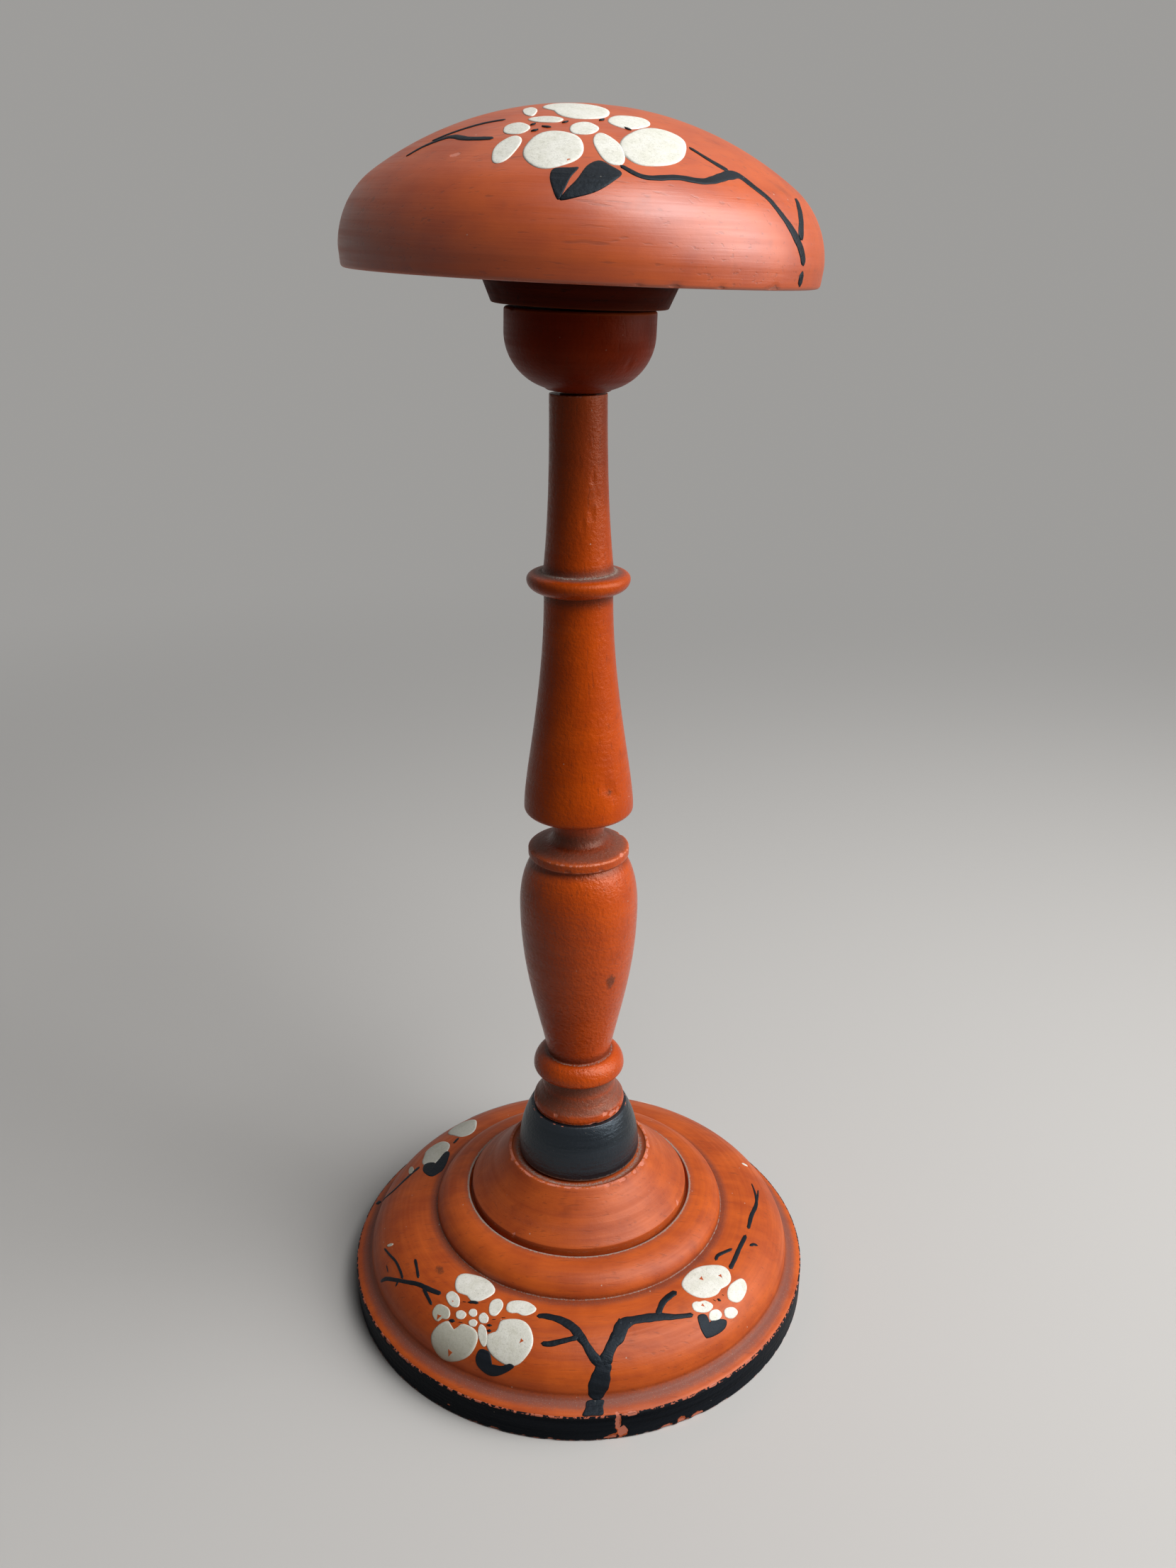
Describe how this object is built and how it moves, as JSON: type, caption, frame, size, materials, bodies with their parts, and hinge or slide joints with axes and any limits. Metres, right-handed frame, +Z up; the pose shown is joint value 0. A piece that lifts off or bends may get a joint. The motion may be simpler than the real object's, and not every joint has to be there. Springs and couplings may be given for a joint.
{
  "type": "hat stand",
  "caption": "Turned wooden hat stand with a round stepped base, a slim ring-turned stem, a cup and a mushroom-shaped cap that turns and lifts off.",
  "frame": {"origin": "middle of the base's flat underside, on the surface that the stand rests on", "axes": "+Z up along the stem, -Y towards the front of the painted base, +X to the side that the cap leans to"},
  "size_m": [0.125, 0.125, 0.2964],
  "materials": {
    "red_lacquer": "orange-red lacquer brushed on turned wood, soft gloss, worn at the edges",
    "black_paint": "brushed blue-black paint, half gloss, chipped at the edges",
    "white_paint": "thick creamy white paint on the blossoms, finely speckled",
    "dark_stain": "dark brown stain, satin",
    "bare_wood": "plain unfinished hardwood dowel"
  },
  "bodies": {
    "base": {"base": "red_lacquer", "collar": "red_lacquer"},
    "stem_dowel": {"stem_dowel": "bare_wood"},
    "stem": {"stem_foot": "black_paint", "lower_stem": "red_lacquer", "neck_dowel": "bare_wood", "upper_stem": "red_lacquer", "cup": "red_lacquer"},
    "cap_dowel": {"cap_dowel": "bare_wood"},
    "cap": {"cap_boss": "dark_stain", "cap": "red_lacquer"}
  },
  "joints": [
    {"name": "stem_lift", "type": "slide", "parent": "base", "child": "stem_dowel", "axis": [0, 0, 1], "range_m": [0, 0.03]},
    {"name": "stem_turn", "type": "hinge", "parent": "stem_dowel", "child": "stem", "pos_m": [0, 0, 0.04], "axis": [0, 0, 1], "continuous": true},
    {"name": "cap_lift", "type": "slide", "parent": "stem", "child": "cap_dowel", "axis": [0.0419, 0, 0.9991], "range_m": [0, 0.02]},
    {"name": "cap_turn", "type": "hinge", "parent": "cap_dowel", "child": "cap", "pos_m": [0.00033, 0, 0.25798], "axis": [0.0419, 0, 0.9991], "continuous": true}
  ]
}
